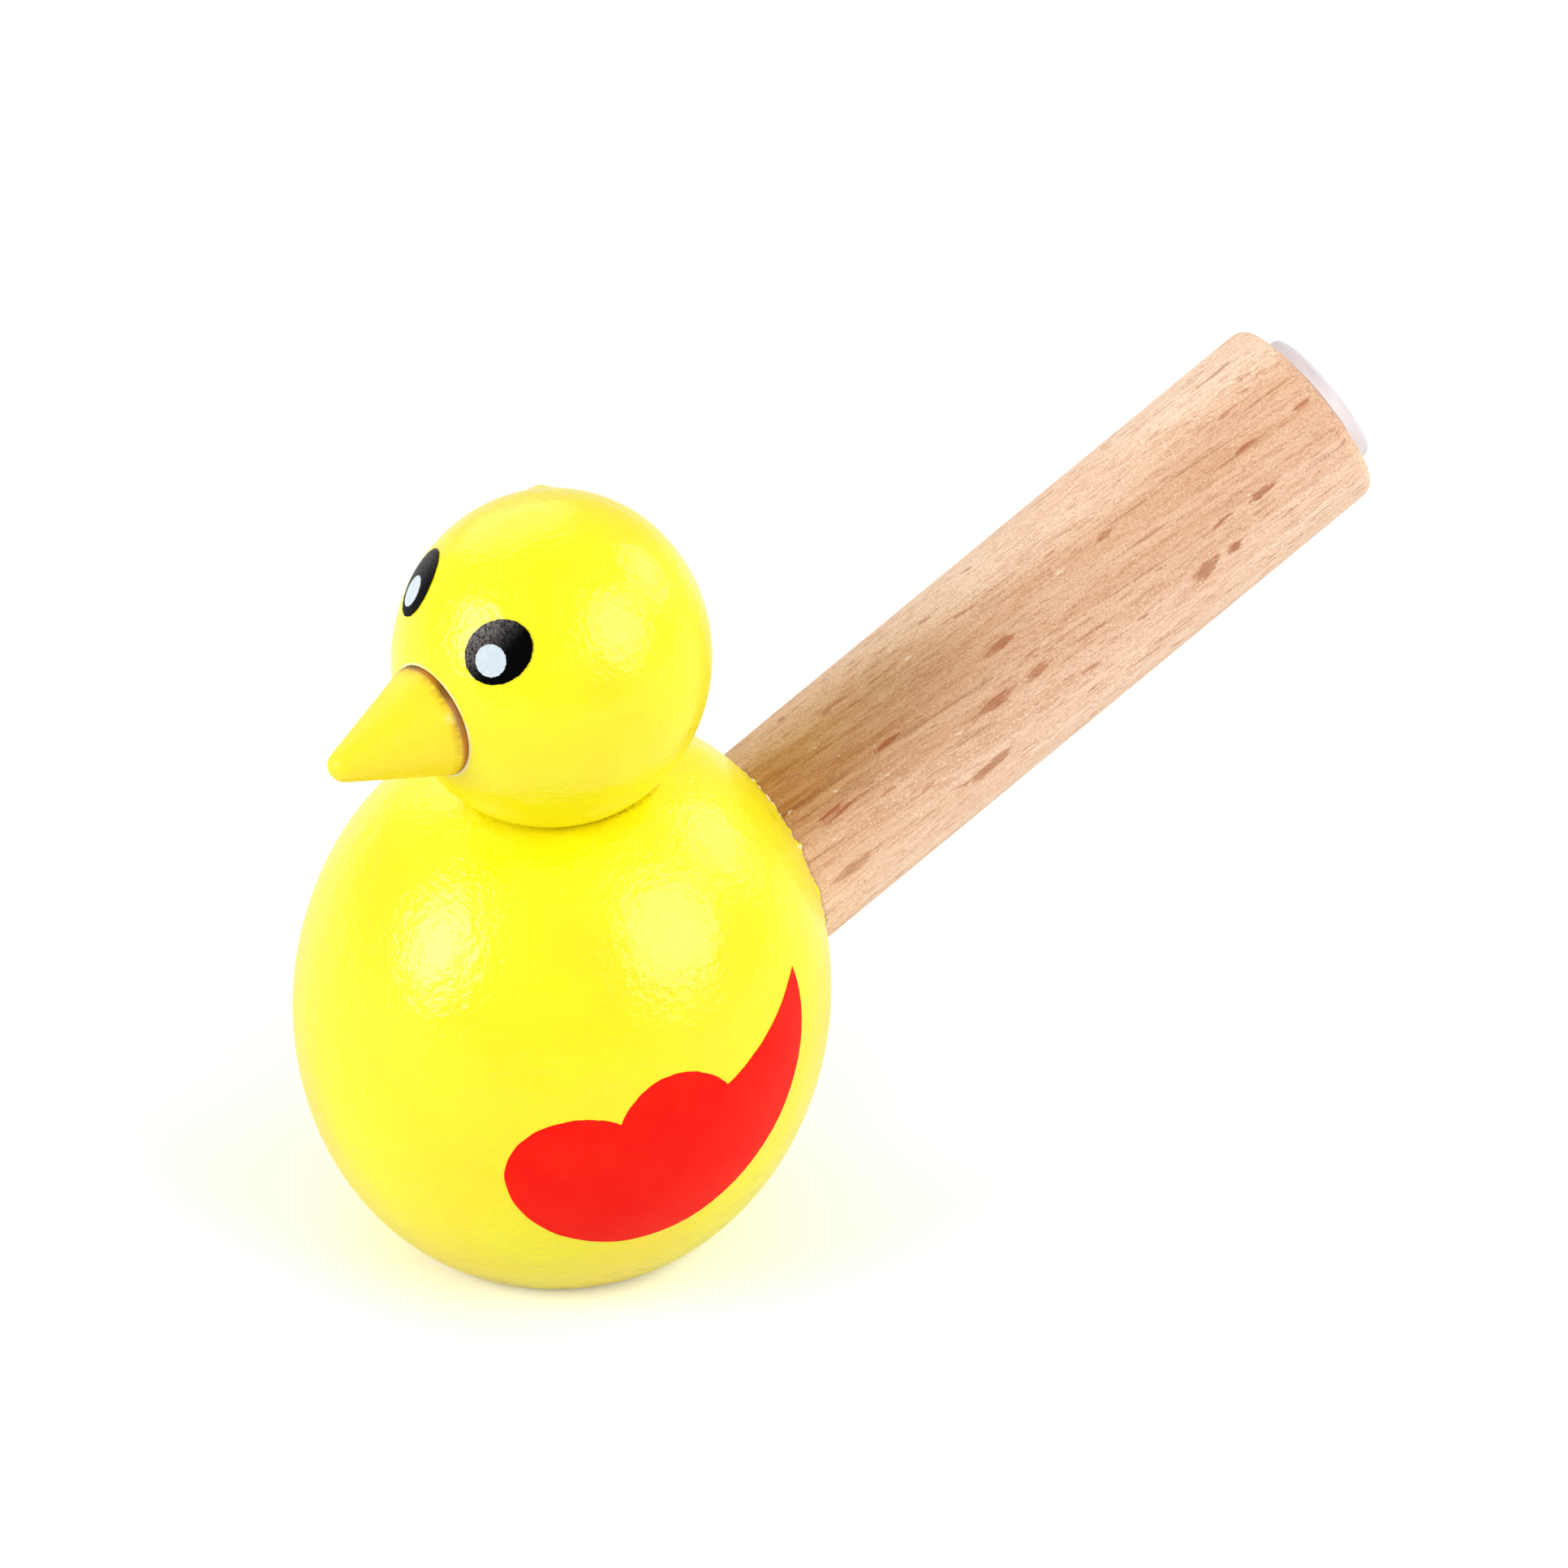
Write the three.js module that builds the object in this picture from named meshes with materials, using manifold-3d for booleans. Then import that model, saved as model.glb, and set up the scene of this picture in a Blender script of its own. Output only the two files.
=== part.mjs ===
// A wooden bird whistle: a painted egg body, a ball head and a natural wood tail that is blown into.
// A plastic sleeve in the end of the tail holds a small reed.
// The sound leaves through a hole under the tail.
// Millimetres and degrees. The bird faces -X, its tail points to +X, its left side is -Y, and +Z is up.
// The origin is the centre of the flat that the bird stands on.

import * as THREE from 'three';
import { mergeVertices } from 'three/addons/utils/BufferGeometryUtils.js';
import Module from 'manifold-3d';

const wasm = await Module();
wasm.setup();

// Gap between a piece and its seat, filled by glue or by a tight fit on the real toy
const seatGap = 0.3;

// Body: an egg that leans back, cut flat where it stands and where the head sits
const bodyRadius = 20.7;
const bodyHalfHeight = 23.1;
const bodyFullness = 0.94;
const bodyLean = 8.9;
const standCut = 4.15;
const neckCut = 1.35;

// Head: an egg that is nearly a ball, cut flat underneath
const headRadius = 12.33;
const headHalfHeight = 13.4;
const headLean = 6.2;
const headForward = 0.85;
const headCut = 2.51;

// Dowel that joins the head to the body
const dowelRadius = 3;
const dowelDepthInBody = 9;
const dowelDepthInHead = 9;
const dowelChamfer = 0.5;

// Beak: a cone with a round tip, seated in a shallow round recess, with a peg behind it.
// It is glued in a little askew, turned towards the bird's left
const beakDroop = 3.7;
const beakTurn = 4.2;
const beakRadius = 4.42;
const beakTipDistance = 21.35;
const beakTipRadius = 1.32;
const beakShoulder = 0.9;
const beakShoulderStart = -20;
const beakSeatDepth = 1.4;
const beakPegRadius = 2.5;
const beakPegLength = 5;

// Tail: a bored dowel that slopes up out of a socket in the body
const tailSlope = 24.1;
const tailDrop = 2.52;
const tubeRadius = 8;
const tubeBoreRadius = 5;
const tubeLength = 64.95;
const tubeOuterRounding = 1.05;
const tubeInnerChamfer = 0.8;
const socketFloor = 10.5;

// Air space in the body, and the hole under the tail where the sound leaves
const chamberRadius = 5;
const chamberDepth = 14.5;
const soundHoleRadius = 3.25;
const soundHoleDrop = 6.43;
const soundHoleLead = 1.07;

// Plastic sleeve in the end of the tail
const flangeRadius = 5.65;
const flangeThickness = 1.15;
const flangeRounding = 0.5;
const sleeveLength = 24;
const sleeveBoreRadius = 3.75;

// Reed: a bed with a groove, a thin tongue over the groove, and a wedge that holds the tongue
const bedInset = 0.4;
const plugLength = 5;
const noseLength = 12;
const bedFlatDrop = 0.4;
const grooveWidth = 2.6;
const grooveDepth = 2;
const grooveEndWall = 1.5;
const slotWidth = 4.6;
const slotHeight = 2;
const slotDepth = 4;
const tongueWidth = 4;
const tongueThickness = 0.35;
const tongueTipInset = 0.3;
const tongueLift = 0.6;
const wedgeTaper = 0.15;

// Printed marks: thin films of ink that lie on the paint
const inkGap = 0.15;
const inkThickness = 0.25;
const wingLength = 25.33;
const eyeTurn = 33.2;
const eyeRise = 35.7;
const eyeLongRadius = 2.83;
const eyeShortRadius = 2.32;
const eyeTilt = 42;
const dotTurn = 30.8;
const dotRise = 32.1;
const dotRadius = 1.27;

// Fineness of the round shapes
const eggSidesAround = 48;
const eggStepsUp = 28;
const roundSides = 36;
const curveSteps = 4;
const wingSteps = 6;
const eyeSteps = 14;
const cutterReach = 60;

const yellowPaint = { color: 0xffe81e, roughness: 0.32, metalness: 0 };
const beakPaint = { color: 0xfcdc1c, roughness: 0.4, metalness: 0 };
const bareWood = { color: 0xe6bf96, roughness: 0.62, metalness: 0 };
const clearPlastic = { color: 0xefe6ef, roughness: 0.3, metalness: 0 };
const reedPlastic = { color: 0xd9d4c4, roughness: 0.4, metalness: 0 };
const redInk = { color: 0xf21d14, roughness: 0.35, metalness: 0 };
const blackInk = { color: 0x0b0b0c, roughness: 0.3, metalness: 0 };
const whiteInk = { color: 0xdfe8ee, roughness: 0.35, metalness: 0 };

function radians(degrees) {
  return THREE.MathUtils.degToRad(degrees);
}

// A closed geometry as a solid that can be joined and cut
function solidFrom(geometry, place = new THREE.Matrix4()) {
  const placed = geometry.clone().applyMatrix4(place);
  placed.deleteAttribute('normal');
  placed.deleteAttribute('uv');
  const merged = mergeVertices(placed, 1e-4);
  const corners = merged.index.array;
  const triVerts = [];
  for (let i = 0; i < corners.length; i += 3) {
    const [a, b, c] = corners.slice(i, i + 3);
    const flat = a === b || b === c || c === a;
    if (!flat) triVerts.push(a, b, c);
  }
  return new wasm.Manifold(new wasm.Mesh({
    numProp: 3,
    vertProperties: Float32Array.from(merged.attributes.position.array),
    triVerts: Uint32Array.from(triVerts),
  }));
}

function geometryFrom(solid) {
  const { vertProperties, triVerts } = solid.getMesh();
  const geometry = new THREE.BufferGeometry();
  geometry.setAttribute('position', new THREE.BufferAttribute(Float32Array.from(vertProperties), 3));
  geometry.setIndex(new THREE.BufferAttribute(Uint32Array.from(triVerts), 1));
  geometry.computeVertexNormals();
  return geometry;
}

// The same piece on the other side of the bird
function mirroredGeometry(geometry) {
  const copy = geometry.clone().scale(1, -1, 1);
  const corners = copy.index.array;
  for (let i = 0; i < corners.length; i += 3) {
    [corners[i], corners[i + 1]] = [corners[i + 1], corners[i]];
  }
  copy.computeVertexNormals();
  return copy;
}

function namedMesh(name, geometry, look) {
  const mesh = new THREE.Mesh(geometry, new THREE.MeshStandardMaterial(look));
  mesh.name = name;
  return mesh;
}

// Turns a profile of (radius, height) points about +Z
function turned(points, sides = roundSides) {
  return new THREE.LatheGeometry(points, sides).rotateX(Math.PI / 2);
}

function eggGeometry(radius, halfHeight, fullness) {
  const profile = [new THREE.Vector2(0, -halfHeight)];
  for (let i = 1; i < eggStepsUp; i += 1) {
    const rise = -Math.PI / 2 + (Math.PI * i) / eggStepsUp;
    profile.push(new THREE.Vector2(radius * Math.cos(rise) ** fullness, halfHeight * Math.sin(rise)));
  }
  profile.push(new THREE.Vector2(0, halfHeight));
  return turned(profile, eggSidesAround);
}

// A cylinder along +Z from one height to another
function rod(radius, from, to) {
  const length = to - from;
  return new THREE.CylinderGeometry(radius, radius, length, roundSides)
    .rotateX(Math.PI / 2)
    .translate(0, 0, from + length / 2);
}

function boxBetween(low, high) {
  const size = new THREE.Vector3().subVectors(high, low);
  const middle = new THREE.Vector3().addVectors(low, high).multiplyScalar(0.5);
  return new THREE.BoxGeometry(size.x, size.y, size.z).translate(middle.x, middle.y, middle.z);
}

function everythingBelow(height) {
  const low = new THREE.Vector3(-cutterReach, -cutterReach, height - cutterReach);
  const high = new THREE.Vector3(cutterReach, cutterReach, height);
  return solidFrom(boxBetween(low, high));
}

function everythingAbove(height) {
  const low = new THREE.Vector3(-cutterReach, -cutterReach, height);
  const high = new THREE.Vector3(cutterReach, cutterReach, height + cutterReach);
  return solidFrom(boxBetween(low, high));
}

// Turned about Y first, then about Z, then moved to the point
function placeAt(point, turnAboutY = 0, turnAboutZ = 0) {
  const angles = new THREE.Euler(0, radians(turnAboutY), radians(turnAboutZ), 'ZYX');
  return new THREE.Matrix4().makeRotationFromEuler(angles).setPosition(point);
}

const bodyCentreHeight = bodyHalfHeight - standCut;
const neckHeight = bodyCentreHeight + bodyHalfHeight - neckCut;
const headCentreHeight = neckHeight + headHalfHeight - headCut;

// How far forward the leaning body's standing flat lies from the body's centre
function flatOffset() {
  const lean = radians(bodyLean);
  const acrossSquared = (bodyRadius * Math.sin(lean)) ** 2;
  const alongSquared = (bodyHalfHeight * Math.cos(lean)) ** 2;
  const skew = (bodyHalfHeight ** 2 - bodyRadius ** 2) * Math.sin(lean) * Math.cos(lean);
  return (bodyCentreHeight * skew) / (acrossSquared + alongSquared);
}

const bodyCentre = new THREE.Vector3(flatOffset(), 0, bodyCentreHeight);
const headCentre = new THREE.Vector3(bodyCentre.x - headForward, 0, headCentreHeight);
const tailStart = new THREE.Vector3(bodyCentre.x, 0, bodyCentre.z - tailDrop);
const bodyPlace = placeAt(bodyCentre, bodyLean);
const headPlace = placeAt(headCentre, headLean);
const tailPlace = placeAt(tailStart, 90 - tailSlope);
const beakPlace = placeAt(headCentre, -(90 + beakDroop), beakTurn);
const bodyTop = neckHeight - seatGap / 2;
const headBottom = neckHeight + seatGap / 2;

// Along the beak, from the head's centre: the edge of its recess in the head, and the recess's floor
const recessRadius = beakRadius + seatGap;
const beakEdge = Math.sqrt(headRadius ** 2 - recessRadius ** 2);
const beakSeat = beakEdge - beakSeatDepth;

// Along the tail, from its start inside the body
const tubeInnerEnd = socketFloor + seatGap;
const tubeOuterEnd = tubeInnerEnd + tubeLength;
const flangeFace = tubeOuterEnd + seatGap;
const mouthEnd = flangeFace + flangeThickness;
const sleeveInnerEnd = mouthEnd - sleeveLength;
const sleeveRadius = tubeBoreRadius - seatGap;
const plugInnerEnd = sleeveInnerEnd + bedInset;
const plugFace = plugInnerEnd + plugLength;
const noseEnd = plugFace + noseLength;
const plugRadius = sleeveBoreRadius - seatGap;

function dowelHole(from, to) {
  const foot = new THREE.Vector3(headCentre.x, 0, 0);
  return solidFrom(rod(dowelRadius + seatGap, from, to), placeAt(foot));
}

// A level hole, below the tail's start and beginning a little in front of it
function soundHole() {
  const start = new THREE.Vector3(tailStart.x - soundHoleLead, 0, tailStart.z - soundHoleDrop);
  return solidFrom(rod(soundHoleRadius, 0, cutterReach), placeAt(start, 90));
}

function body() {
  const egg = solidFrom(eggGeometry(bodyRadius, bodyHalfHeight, bodyFullness), bodyPlace);
  const socket = solidFrom(rod(tubeRadius + seatGap, socketFloor, cutterReach), tailPlace);
  const chamberEnd = socketFloor - chamberDepth;
  const chamber = solidFrom(rod(chamberRadius, chamberEnd, socketFloor + seatGap), tailPlace);
  const solid = egg
    .subtract(everythingBelow(0))
    .subtract(everythingAbove(bodyTop))
    .subtract(dowelHole(bodyTop - dowelDepthInBody - seatGap, cutterReach))
    .subtract(socket)
    .subtract(chamber)
    .subtract(soundHole());
  return namedMesh('body', geometryFrom(solid), yellowPaint);
}

function head() {
  const egg = solidFrom(eggGeometry(headRadius, headHalfHeight, 1), headPlace);
  const recess = solidFrom(rod(recessRadius, beakSeat, cutterReach), beakPlace);
  const pegEnd = beakSeat + seatGap - beakPegLength;
  const pegHole = solidFrom(rod(beakPegRadius + seatGap, pegEnd - seatGap, cutterReach), beakPlace);
  const solid = egg
    .subtract(everythingBelow(headBottom))
    .subtract(dowelHole(0, headBottom + dowelDepthInHead + seatGap))
    .subtract(recess)
    .subtract(pegHole);
  return namedMesh('head', geometryFrom(solid), yellowPaint);
}

function neckDowel() {
  const low = bodyTop - dowelDepthInBody;
  const high = headBottom + dowelDepthInHead;
  const profile = [
    new THREE.Vector2(0, low),
    new THREE.Vector2(dowelRadius - dowelChamfer, low),
    new THREE.Vector2(dowelRadius, low + dowelChamfer),
    new THREE.Vector2(dowelRadius, high - dowelChamfer),
    new THREE.Vector2(dowelRadius - dowelChamfer, high),
    new THREE.Vector2(0, high),
  ];
  const mesh = namedMesh('neck_dowel', geometryFrom(solidFrom(turned(profile))), bareWood);
  mesh.position.set(headCentre.x, 0, 0);
  return mesh;
}

// The cone's side touches both the round shoulder and the round tip, which sets its slope
function beak() {
  const shoulderHeight = beakEdge - beakShoulder * Math.sin(radians(beakShoulderStart));
  const shoulderCentre = beakRadius - beakShoulder * Math.cos(radians(beakShoulderStart));
  const tipHeight = beakTipDistance - beakTipRadius;
  const between = Math.hypot(shoulderCentre, tipHeight - shoulderHeight);
  const tilt = Math.atan2(tipHeight - shoulderHeight, -shoulderCentre);
  const slope = tilt - Math.acos((beakShoulder - beakTipRadius) / between);
  const base = beakSeat + seatGap;
  const profile = new THREE.Path();
  profile.moveTo(0, base - beakPegLength);
  profile.lineTo(beakPegRadius, base - beakPegLength);
  profile.lineTo(beakPegRadius, base);
  profile.lineTo(beakRadius, base);
  profile.absarc(shoulderCentre, shoulderHeight, beakShoulder, radians(beakShoulderStart), slope, false);
  profile.absarc(0, tipHeight, beakTipRadius, slope, Math.PI / 2, false);
  const points = profile.getPoints(curveSteps);
  points[points.length - 1].x = 0;
  const mesh = namedMesh('beak', geometryFrom(solidFrom(turned(points))), beakPaint);
  mesh.applyMatrix4(beakPlace);
  return mesh;
}

function mouthpieceTube() {
  const outer = tubeRadius - tubeOuterRounding;
  const profile = new THREE.Path();
  profile.moveTo(tubeBoreRadius, tubeInnerEnd);
  profile.lineTo(tubeRadius - tubeInnerChamfer, tubeInnerEnd);
  profile.lineTo(tubeRadius, tubeInnerEnd + tubeInnerChamfer);
  profile.lineTo(tubeRadius, tubeOuterEnd - tubeOuterRounding);
  profile.absarc(outer, tubeOuterEnd - tubeOuterRounding, tubeOuterRounding, 0, Math.PI / 2, false);
  profile.lineTo(tubeBoreRadius, tubeOuterEnd);
  profile.lineTo(tubeBoreRadius, tubeInnerEnd);
  const solid = solidFrom(turned(profile.getPoints(curveSteps)));
  return namedMesh('mouthpiece_tube', geometryFrom(solid), bareWood);
}

function mouthpieceSleeve() {
  const edge = flangeRadius - flangeRounding;
  const shoulder = mouthEnd - flangeRounding;
  const profile = new THREE.Path();
  profile.moveTo(sleeveBoreRadius, sleeveInnerEnd);
  profile.lineTo(sleeveRadius, sleeveInnerEnd);
  profile.lineTo(sleeveRadius, flangeFace);
  profile.lineTo(flangeRadius, flangeFace);
  profile.lineTo(flangeRadius, shoulder);
  profile.absarc(edge, shoulder, flangeRounding, 0, Math.PI / 2, false);
  const lip = sleeveBoreRadius + flangeRounding;
  profile.lineTo(lip, mouthEnd);
  profile.absarc(lip, shoulder, flangeRounding, Math.PI / 2, Math.PI, false);
  profile.lineTo(sleeveBoreRadius, sleeveInnerEnd);
  const solid = solidFrom(turned(profile.getPoints(curveSteps)));
  return namedMesh('mouthpiece_sleeve', geometryFrom(solid), clearPlastic);
}

// In the tail's own frame the bed's flat faces -X, and the tongue lifts from it towards -X
function reedBed() {
  const flat = bedFlatDrop;
  const noseCut = boxBetween(
    new THREE.Vector3(-cutterReach, -cutterReach, plugFace),
    new THREE.Vector3(flat, cutterReach, cutterReach + noseEnd),
  );
  const slot = boxBetween(
    new THREE.Vector3(flat - slotHeight, -slotWidth / 2, plugFace - slotDepth),
    new THREE.Vector3(flat, slotWidth / 2, plugFace + seatGap),
  );
  const groove = boxBetween(
    new THREE.Vector3(flat - seatGap, -grooveWidth / 2, plugInnerEnd - seatGap),
    new THREE.Vector3(flat + grooveDepth, grooveWidth / 2, noseEnd - grooveEndWall),
  );
  const solid = solidFrom(rod(plugRadius, plugInnerEnd, noseEnd))
    .subtract(solidFrom(noseCut))
    .subtract(solidFrom(slot))
    .subtract(solidFrom(groove));
  return namedMesh('reed_bed', geometryFrom(solid), reedPlastic);
}

// Takes a side view, drawn along the tail and up from the bed's flat, to its place on the bed
function acrossBed(shape, width) {
  const along = new THREE.Vector3(0, 0, 1);
  const up = new THREE.Vector3(-1, 0, 0);
  const across = new THREE.Vector3(0, -1, 0);
  const place = new THREE.Matrix4().makeBasis(along, up, across).setPosition(bedFlatDrop, 0, plugFace);
  const plate = new THREE.ExtrudeGeometry(shape, {
    depth: width,
    bevelEnabled: false,
    curveSegments: curveSteps,
  }).translate(0, 0, -width / 2);
  return geometryFrom(solidFrom(plate, place));
}

function reedTongue() {
  const root = -(slotDepth - seatGap);
  const tip = noseLength - tongueTipInset;
  const under = seatGap;
  const over = seatGap + tongueThickness;
  const side = new THREE.Shape();
  side.moveTo(root, under);
  side.lineTo(0, under);
  side.quadraticCurveTo(tip / 2, under, tip, under + tongueLift);
  side.lineTo(tip, over + tongueLift);
  side.quadraticCurveTo(tip / 2, over, 0, over);
  side.lineTo(root, over);
  return namedMesh('reed_tongue', acrossBed(side, tongueWidth), reedPlastic);
}

function reedWedge() {
  const under = seatGap + tongueThickness + seatGap;
  const over = slotHeight - seatGap;
  const back = -(slotDepth - seatGap);
  const side = new THREE.Shape();
  side.moveTo(back, under);
  side.lineTo(0, under);
  side.lineTo(0, over);
  side.lineTo(back, over - wedgeTaper);
  return namedMesh('reed_wedge', acrossBed(side, slotWidth - 2 * seatGap), reedPlastic);
}

// A thin shell that lies just over an egg, from which the ink marks are cut
function inkShell(radius, halfHeight, fullness, place, layer) {
  const inner = inkGap + layer * (inkThickness + inkGap);
  const outer = inner + inkThickness;
  const outside = solidFrom(eggGeometry(radius + outer, halfHeight + outer, fullness), place);
  const inside = solidFrom(eggGeometry(radius + inner, halfHeight + inner, fullness), place);
  return outside.subtract(inside);
}

// The wing as seen from the bird's left, from the body's centre: +X to the tail, +Y up.
// Only its form counts here, as its size is set by the wing's length
function wingOutline() {
  const wing = new THREE.Shape();
  wing.moveTo(10.4, 8.8);
  wing.bezierCurveTo(12.4, 0.6, 3.4, -9.75, -5.6, -9.75);
  wing.bezierCurveTo(-10.7, -9.75, -14.8, -6.3, -14.8, -1.95);
  wing.bezierCurveTo(-14.8, 1.25, -12.4, 3.25, -9.9, 3.25);
  wing.bezierCurveTo(-9, 3.25, -8, 3.05, -7.2, 2.55);
  wing.bezierCurveTo(-6.3, 4.65, -4.6, 5.9, -2.6, 5.9);
  wing.bezierCurveTo(-1, 5.9, 0.8, 4.95, 1.8, 3.45);
  wing.bezierCurveTo(4.6, 4.55, 7.8, 6.45, 10.4, 8.8);
  return wing;
}

function wingGeometry() {
  const outline = wingOutline();
  const drawn = new THREE.Box2().setFromPoints(outline.getPoints(wingSteps));
  const enlarged = wingLength / (drawn.max.x - drawn.min.x);
  const cutter = new THREE.ExtrudeGeometry(outline, {
    depth: cutterReach,
    bevelEnabled: false,
    curveSegments: wingSteps,
  }).rotateX(Math.PI / 2).scale(enlarged, 1, enlarged);
  const shell = inkShell(bodyRadius, bodyHalfHeight, bodyFullness, bodyPlace, 0);
  return geometryFrom(shell.intersect(solidFrom(cutter, placeAt(bodyCentre))));
}

// A mark on the left side of the head, in the direction given by a turn from straight ahead and a rise
function headMark(outline, turn, rise, layer) {
  const [t, r] = [radians(turn), radians(rise)];
  const outward = new THREE.Vector3(-Math.cos(r) * Math.cos(t), -Math.cos(r) * Math.sin(t), Math.sin(r));
  const backward = new THREE.Vector3(Math.sin(t), -Math.cos(t), 0);
  const upward = new THREE.Vector3().crossVectors(outward, backward);
  const place = new THREE.Matrix4().makeBasis(backward, upward, outward).setPosition(headCentre);
  const cutter = new THREE.ExtrudeGeometry(outline, {
    depth: cutterReach,
    bevelEnabled: false,
    curveSegments: eyeSteps,
  });
  const shell = inkShell(headRadius, headHalfHeight, 1, headPlace, layer);
  return geometryFrom(shell.intersect(solidFrom(cutter, place)));
}

function ellipse(longRadius, shortRadius, tilt) {
  const shape = new THREE.Shape();
  shape.absellipse(0, 0, longRadius, shortRadius, 0, 2 * Math.PI, false, radians(tilt));
  return shape;
}

function addOnBothSides(group, name, geometry, look) {
  group.add(namedMesh(`left_${name}`, geometry, look));
  group.add(namedMesh(`right_${name}`, mirroredGeometry(geometry), look));
}

const bird = new THREE.Group();
bird.add(body());
bird.add(head());
bird.add(neckDowel());
bird.add(beak());

const tail = new THREE.Group();
tail.applyMatrix4(tailPlace);
tail.add(mouthpieceTube());
tail.add(mouthpieceSleeve());
tail.add(reedBed());
tail.add(reedTongue());
tail.add(reedWedge());
bird.add(tail);

addOnBothSides(bird, 'wing_print', wingGeometry(), redInk);
const eyeShape = ellipse(eyeLongRadius, eyeShortRadius, eyeTilt);
addOnBothSides(bird, 'eye_print', headMark(eyeShape, eyeTurn, eyeRise, 0), blackInk);
const dotShape = ellipse(dotRadius, dotRadius, 0);
addOnBothSides(bird, 'eye_dot_print', headMark(dotShape, dotTurn, dotRise, 1), whiteInk);

export default bird;
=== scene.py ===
import math

import bmesh
import bpy
import numpy as np
from mathutils import Matrix, Vector
from mathutils.geometry import delaunay_2d_cdt


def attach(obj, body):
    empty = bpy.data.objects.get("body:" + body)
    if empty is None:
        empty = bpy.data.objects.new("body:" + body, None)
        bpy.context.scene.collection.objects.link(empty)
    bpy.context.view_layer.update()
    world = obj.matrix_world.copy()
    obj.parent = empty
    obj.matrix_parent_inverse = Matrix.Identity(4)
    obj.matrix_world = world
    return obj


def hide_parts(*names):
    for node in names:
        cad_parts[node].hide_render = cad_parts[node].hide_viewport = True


# A painted wooden bird whistle: egg body, ball head, cone beak and a bare wood tail.
# A plastic sleeve in the tail's end holds a reed.
# Metres. The bird faces -X, its tail points to +X, its left side is -Y, and it stands on Z = 0.

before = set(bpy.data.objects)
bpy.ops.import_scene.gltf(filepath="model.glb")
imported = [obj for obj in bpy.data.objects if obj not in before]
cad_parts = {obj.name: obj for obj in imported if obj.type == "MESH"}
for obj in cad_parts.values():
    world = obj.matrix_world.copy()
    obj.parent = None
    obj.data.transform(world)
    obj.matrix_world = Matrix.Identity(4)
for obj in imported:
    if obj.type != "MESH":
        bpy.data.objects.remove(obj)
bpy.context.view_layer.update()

MM = 0.001

# Body and head, as in the frame's solids
BODY_RADIUS = 20.7 * MM
BODY_HALF_HEIGHT = 23.1 * MM
BODY_FULLNESS = 0.94
BODY_LEAN = math.radians(8.9)
BODY_CENTRE = Vector((0.573, 0, 18.95)) * MM
NECK_HEIGHT = 40.7 * MM
HEAD_RADIUS = 12.33 * MM
HEAD_HALF_HEIGHT = 13.4 * MM
HEAD_LEAN = math.radians(6.2)
HEAD_CENTRE = BODY_CENTRE + Vector((-0.85, 0, 32.64)) * MM
DOWEL_RADIUS = 3 * MM
DOWEL_DEPTH = 9 * MM

# Beak, along its own axis from the head's centre
BEAK_DROOP = math.radians(3.7)
BEAK_TURN = math.radians(4.2)
BEAK_RADIUS = 4.46 * MM
BEAK_TIP_DISTANCE = 21.33 * MM
BEAK_TIP_RADIUS = 1.32 * MM
BEAK_SHOULDER = 0.9 * MM
BEAK_SHOULDER_START = math.radians(-20)
BEAK_SEAT_DEPTH = 1.4 * MM
BEAK_PEG_RADIUS = 2.5 * MM
BEAK_PEG_LENGTH = 5 * MM

# Tail, along its own axis from its start inside the body
TAIL_SLOPE = math.radians(24.1)
TAIL_START = BODY_CENTRE - Vector((0, 0, 2.52)) * MM
TUBE_RADIUS = 8 * MM
TUBE_BORE_RADIUS = 5 * MM
TUBE_INNER_END = 10.8 * MM
TUBE_OUTER_END = 75.75 * MM
TUBE_ROUNDING = 1.15 * MM
TUBE_CHAMFER = 0.8 * MM
SOCKET_FLOOR = 10.5 * MM
CHAMBER_RADIUS = 5 * MM
CHAMBER_DEPTH = 14.5 * MM
SOUND_HOLE_RADIUS = 3.25 * MM
SOUND_HOLE_HEIGHT = 10 * MM
SOUND_HOLE_START = -0.5 * MM

# Sleeve in the tail's end
SLEEVE_RADIUS = 4.7 * MM
SLEEVE_BORE_RADIUS = 3.75 * MM
SLEEVE_INNER_END = 53.2 * MM
FLANGE_RADIUS = 5.65 * MM
FLANGE_FACE = 76.05 * MM
MOUTH_END = 77.2 * MM
FLANGE_ROUNDING = 0.55 * MM

# Seams that show: wood and paint meet more tightly than the solids do
SEAT_GAP = 0.3 * MM
SOCKET_SEAM = 0.05 * MM
BEAK_SEAM = 0.06 * MM
NECK_SEAM = 0.12 * MM
PAINT_ROUNDING = 0.35 * MM

# How far the cutters of recesses and holes reach out, past any surface
CUTTER_REACH = 30 * MM

# Paint colours in linear light: the main one, a deeper one and a paler one
YELLOW = ((0.97, 0.88, 0.002, 1), (0.97, 0.8, 0.001, 1), (0.98, 0.91, 0.015, 1))
GOLDEN = ((0.97, 0.78, 0.008, 1), (0.94, 0.7, 0.006, 1), (0.98, 0.86, 0.03, 1))

# Ink colours in linear light: the main one and a deeper one
RED_INK = ((0.96, 0.014, 0.005, 1), (0.93, 0.008, 0.003, 1))
BLACK_INK = ((0.001, 0.001, 0.0012, 1), (0.0005, 0.0005, 0.0008, 1))
PALE_INK = ((0.72, 0.78, 0.82, 1), (0.66, 0.73, 0.78, 1))

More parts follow.
